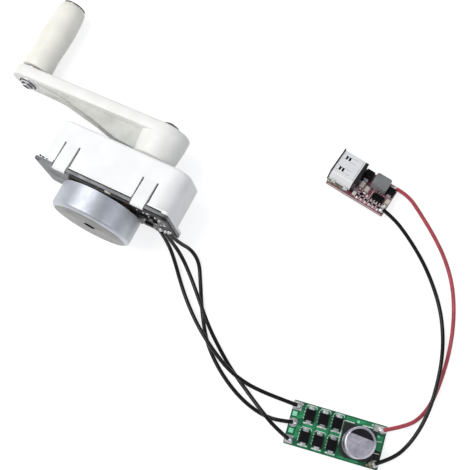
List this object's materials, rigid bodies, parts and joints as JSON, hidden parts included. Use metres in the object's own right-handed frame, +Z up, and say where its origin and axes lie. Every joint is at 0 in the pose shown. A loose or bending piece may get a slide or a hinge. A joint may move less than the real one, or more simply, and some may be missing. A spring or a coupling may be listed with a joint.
{
  "type": "hand crank generator",
  "caption": "Hand crank charger module: geared motor generator with a folding-out crank and grip, wired to a rectifier board and a step-down board with a socket.",
  "frame": {"origin": "centre of the bounding box of the solid pieces without the wires, on the floor they lie on", "axes": "+Y along the crank axis from the motor toward the handle; +X from the handle side toward the boards; +Z up from the floor"},
  "size_m": [0.2127, 0.1208, 0.034],
  "materials": {
    "cup_steel": "satin",
    "steel": "machined",
    "magnet": "matte",
    "laminations": "matte",
    "copper": "lacquered",
    "brass": "machined",
    "plate_steel": "satin",
    "motor_board": "satin",
    "black_plastic": "matte",
    "solder": "glossy",
    "white_plastic": "satin",
    "bush_plastic": "matte",
    "gear_plastic": "satin",
    "cream_plastic": "satin",
    "green_board": "glossy",
    "can_aluminium": "satin",
    "maroon_board": "glossy",
    "tinned_steel": "bright",
    "ferrite": "matte",
    "beige_ceramic": "satin",
    "black_rubber": "satin",
    "red_rubber": "satin"
  },
  "bodies": {
    "base": {"stator_core": "laminations", "stator_windings": "copper", "bearing_tube": "brass", "motor_bearings": "steel", "base_plate": "plate_steel", "motor_pcb": "motor_board", "motor_pcb_parts": "black_plastic", "phase_solder": "solder", "gear_housing": "white_plastic", "crank_bushes": "bush_plastic", "idler_pin": "steel", "rectifier_board": "green_board", "rectifier_diodes": "black_plastic", "diode_leads": "tinned_steel", "capacitor_base": "black_plastic", "capacitor_can": "can_aluminium", "rectifier_solder": "solder", "usb_board": "maroon_board", "usb_shell": "tinned_steel", "usb_tongue": "black_plastic", "usb_contacts": "brass", "inductor": "ferrite", "power_diodes": "black_plastic", "ceramic_capacitors": "beige_ceramic", "converter_chip": "black_plastic", "chip_pins": "tinned_steel", "chip_resistors": "black_plastic", "usb_solder": "solder", "phase_wire_a": "black_rubber", "phase_wire_b": "black_rubber", "phase_wire_c": "black_rubber", "positive_wire": "red_rubber", "negative_wire": "black_rubber"},
    "crank": {"crank_arm": "cream_plastic", "crank_shaft": "steel", "crank_gear": "gear_plastic", "crank_screw": "steel", "handle_pin": "steel", "handle_nut": "steel", "handle_washer": "bush_plastic"},
    "grip": {"handle_grip": "cream_plastic"},
    "first_idler": {"first_idler_gear": "gear_plastic"},
    "second_idler": {"second_idler_gear": "gear_plastic"},
    "rotor": {"rotor_cup": "cup_steel", "rotor_magnet": "magnet", "rotor_shaft": "steel", "motor_pinion": "brass"}
  },
  "joints": [
    {"name": "crank_spin", "type": "hinge", "parent": "base", "child": "crank", "pos_m": [-0.02998, 0.00291, 0.0185], "axis": [0, 1, 0], "continuous": true},
    {"name": "grip_spin", "type": "hinge", "parent": "crank", "child": "grip", "pos_m": [-0.09454, 0.03791, 0.00745], "axis": [0, 1, 0], "continuous": true},
    {"name": "first_idler_spin", "type": "hinge", "parent": "base", "child": "first_idler", "pos_m": [-0.04362, 0.00291, 0.01639], "axis": [0, 1, 0], "continuous": true},
    {"name": "second_idler_spin", "type": "hinge", "parent": "base", "child": "second_idler", "pos_m": [-0.02998, -0.00709, 0.0185], "axis": [0, 1, 0], "continuous": true},
    {"name": "rotor_spin", "type": "hinge", "parent": "base", "child": "rotor", "pos_m": [-0.03937, -0.02209, 0.01705], "axis": [0, 1, 0], "continuous": true}
  ],
  "couplings": [
    {"joint": "first_idler_spin", "follows": "crank_spin", "ratio": -2.8333},
    {"joint": "second_idler_spin", "follows": "crank_spin", "ratio": 8.0278},
    {"joint": "rotor_spin", "follows": "crank_spin", "ratio": -19.705}
  ]
}
